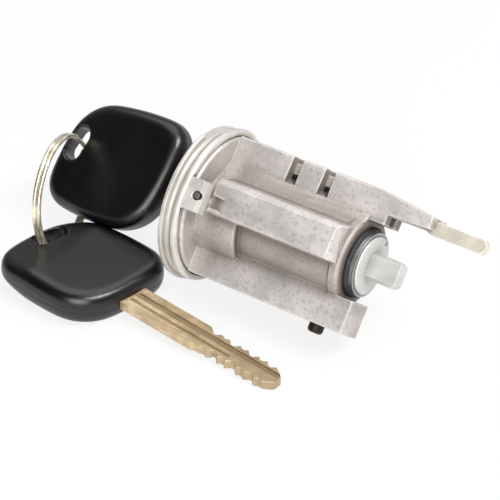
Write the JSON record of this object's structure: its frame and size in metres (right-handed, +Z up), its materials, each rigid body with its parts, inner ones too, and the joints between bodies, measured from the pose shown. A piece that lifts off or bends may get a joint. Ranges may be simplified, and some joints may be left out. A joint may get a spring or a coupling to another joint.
{
  "type": "ignition lock cylinder with keys",
  "caption": "Die-cast car ignition lock with rails, a lever arm and a drive tang at the back, a key in its front, and a spare key on a split ring.",
  "frame": {"origin": "on the barrel axis, in the plane of the front cap's back face, where the lock is pushed into its column", "axes": "+X along the barrel, from the key end to the tang; +Z up as the lock lies on its cap and lower rail"},
  "size_m": [0.1084, 0.0554, 0.037],
  "materials": {
    "cast_zinc": "die-cast zinc alloy, dull, lightly grained",
    "brass_rotor": "machined, dull",
    "brass": "stamped, worn bright on the edges",
    "spring_steel": "drawn wire",
    "bright_steel": "machined, bright",
    "bush_metal": "grooved, dull",
    "dark_steel": "blackened",
    "plated_steel": "pale yellow plating",
    "ring_steel": "drawn wire, worn plating",
    "rubber": "smooth moulded rubber",
    "black_plastic": "moulded, satin, softly rounded"
  },
  "bodies": {
    "lock_body": {"housing": "cast_zinc", "front_cap": "cast_zinc", "cap_pin": "dark_steel", "lever_pin": "bright_steel", "lever_spring": "spring_steel", "plunger_spring": "spring_steel"},
    "rotor": {"plug": "brass_rotor", "wafers": "brass", "wafer_springs": "spring_steel", "tail_piece": "bright_steel", "tail_pin": "bright_steel", "rear_bush": "bush_metal", "seal_ring": "rubber"},
    "lever_arm": {"lever": "plated_steel"},
    "follower": {"follower_pin": "bright_steel"},
    "catch": {"plunger": "dark_steel"},
    "key": {"key_head": "black_plastic", "key_blade": "brass"},
    "ring": {"split_ring": "ring_steel"},
    "spare_key": {"spare_key_head": "black_plastic", "spare_key_blade": "brass"}
  },
  "joints": [
    {"name": "plug_turn", "type": "hinge", "parent": "lock_body", "child": "rotor", "pos_m": [0, 0, 0], "axis": [1, 0, 0], "range_deg": [0, 110]},
    {"name": "key_pull", "type": "slide", "parent": "rotor", "child": "key", "axis": [-1, 0, 0], "range_m": [0, 0.036]},
    {"name": "ring_swing", "type": "hinge", "parent": "key", "child": "ring", "pos_m": [-0.0397, 0.00079, 0.00091], "axis": [-0.0272, 0.4117, -0.9109], "range_deg": [-1, 50]},
    {"name": "spare_key_swing", "type": "hinge", "parent": "ring", "child": "spare_key", "pos_m": [-0.03373, -0.02134, -0.01274], "axis": [0.0802, -0.6081, 0.7898], "range_deg": [-30, 1]},
    {"name": "lever_tilt", "type": "hinge", "parent": "lock_body", "child": "lever_arm", "pos_m": [0.03, 0.00846, 0.01087], "axis": [0, -0.7547, 0.6561], "range_deg": [0, 2.15]},
    {"name": "follower_drop", "type": "slide", "parent": "lock_body", "child": "follower", "axis": [0, -0.6561, -0.7547], "range_m": [0, 0.00095]},
    {"name": "plunger_press", "type": "slide", "parent": "lock_body", "child": "catch", "axis": [0, 0.6561, 0.7547], "range_m": [0, 0.0021], "stiffness_N_per_m": 800, "springref_m": -0.002, "deforming": ["plunger_spring"]}
  ],
  "couplings": [
    {"joint": "follower_drop", "follows": "lever_tilt", "m_per_rad": 0.024}
  ]
}
